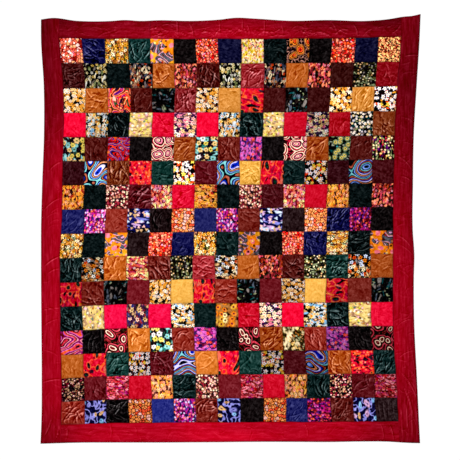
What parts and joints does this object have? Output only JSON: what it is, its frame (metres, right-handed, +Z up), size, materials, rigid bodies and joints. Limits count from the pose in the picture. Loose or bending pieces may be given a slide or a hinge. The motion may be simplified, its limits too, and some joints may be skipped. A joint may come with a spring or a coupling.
{
  "type": "patchwork quilt",
  "caption": "Velvet patchwork bed quilt, spread flat and face up: pieced rows of puffed square patches inside a plain velvet border.",
  "frame": {"origin": "on the floor under the middle of the quilt's overall rectangle", "axes": "+Z up out of the face of the quilt, +Y to its top edge as the picture shows it, +X to its right edge"},
  "size_m": [2.185, 2.4699, 0.0076],
  "materials": {
    "pieced_velvet": "printed and plain cotton velvet patches in many colours, crushed pile",
    "border_velvet": "plain crimson velvet, crushed pile"
  },
  "bodies": {
    "root": {"row_01": "pieced_velvet", "row_02": "pieced_velvet", "row_03": "pieced_velvet", "row_04": "pieced_velvet", "row_05": "pieced_velvet", "row_06": "pieced_velvet", "row_07": "pieced_velvet", "row_08": "pieced_velvet", "row_09": "pieced_velvet", "row_10": "pieced_velvet", "row_11": "pieced_velvet", "row_12": "pieced_velvet", "row_13": "pieced_velvet", "row_14": "pieced_velvet", "row_15": "pieced_velvet", "row_16": "pieced_velvet", "border_left": "border_velvet", "border_right": "border_velvet", "border_top_short": "border_velvet", "border_top_long": "border_velvet", "border_bottom": "border_velvet"}
  },
  "joints": []
}
